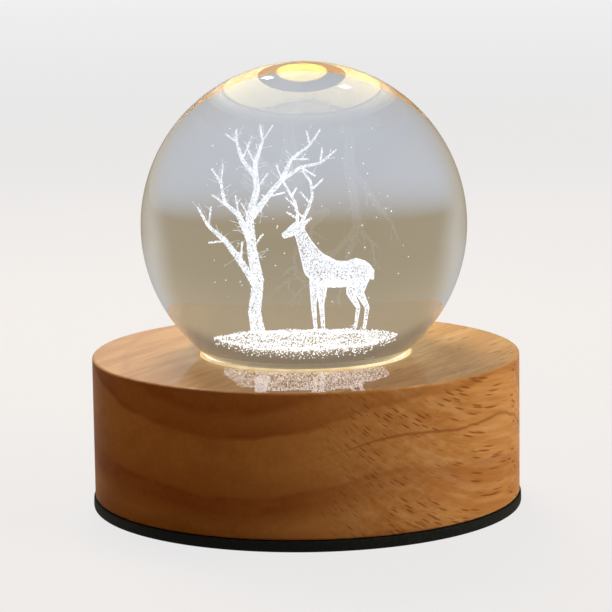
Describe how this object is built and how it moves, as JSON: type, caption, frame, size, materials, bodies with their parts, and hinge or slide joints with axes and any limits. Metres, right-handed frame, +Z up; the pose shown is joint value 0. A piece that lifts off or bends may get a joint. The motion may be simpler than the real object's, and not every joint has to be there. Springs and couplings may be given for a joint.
{
  "type": "night light",
  "caption": "Table night light: a clear crystal ball rests on a silicone ring in a round turned-wood base, lit from below, with a socket and push button at the back.",
  "frame": {"origin": "middle of the pad's underside, on the table", "axes": "+Z up through the ball, -Y towards the viewer of the picture, +Y towards the socket and button at the back, +X to the viewer's right"},
  "size_m": [0.0796, 0.0796, 0.0819],
  "materials": {
    "crystal": "polished clear",
    "silicone": "clear, lit warm from below",
    "oiled_wood": "glossy clear varnish",
    "black_foam": "matt closed-cell foam",
    "grey_plastic": "satin",
    "frosted_lens": "frosted, lit",
    "white_board": "solder mask on aluminium",
    "green_board": "solder mask",
    "phosphor": "yellow gel",
    "black_plastic": "fine satin",
    "steel": "nickel plated",
    "can_aluminium": "drawn can",
    "red_sleeve": "satin",
    "black_sleeve": "satin"
  },
  "bodies": {
    "base": {"wood_base": "oiled_wood", "base_pad": "black_foam", "light_cup": "grey_plastic", "diffuser_lens": "frosted_lens", "led_board": "white_board", "led_chip_1": "phosphor", "led_chip_2": "phosphor", "led_chip_3": "phosphor", "led_chip_4": "phosphor", "module_screw_1": "steel", "module_screw_2": "steel", "board_screw_1": "steel", "board_screw_2": "steel", "driver_board": "green_board", "driver_chip": "black_plastic", "capacitor": "can_aluminium", "resistor_1": "black_plastic", "resistor_2": "black_plastic", "socket_shell": "steel", "socket_tongue": "black_plastic", "switch_body": "black_plastic", "wire_red": "red_sleeve", "wire_black": "black_sleeve"},
    "ring": {"seat_ring": "silicone"},
    "ball": {"crystal_ball": "crystal"},
    "button": {"button_cap": "black_plastic", "switch_plunger": "grey_plastic"}
  },
  "joints": [
    {"name": "ball_turn", "type": "hinge", "parent": "base", "child": "ring", "pos_m": [0, 0, 0.028], "axis": [0, 0, 1], "continuous": true},
    {"name": "ball_lift", "type": "slide", "parent": "ring", "child": "ball", "axis": [0, 0, 1], "range_m": [0, 0.06]},
    {"name": "power_button", "type": "slide", "parent": "base", "child": "button", "axis": [0, -1, 0], "range_m": [0, 0.0007], "stiffness_N_per_m": 1000}
  ]
}
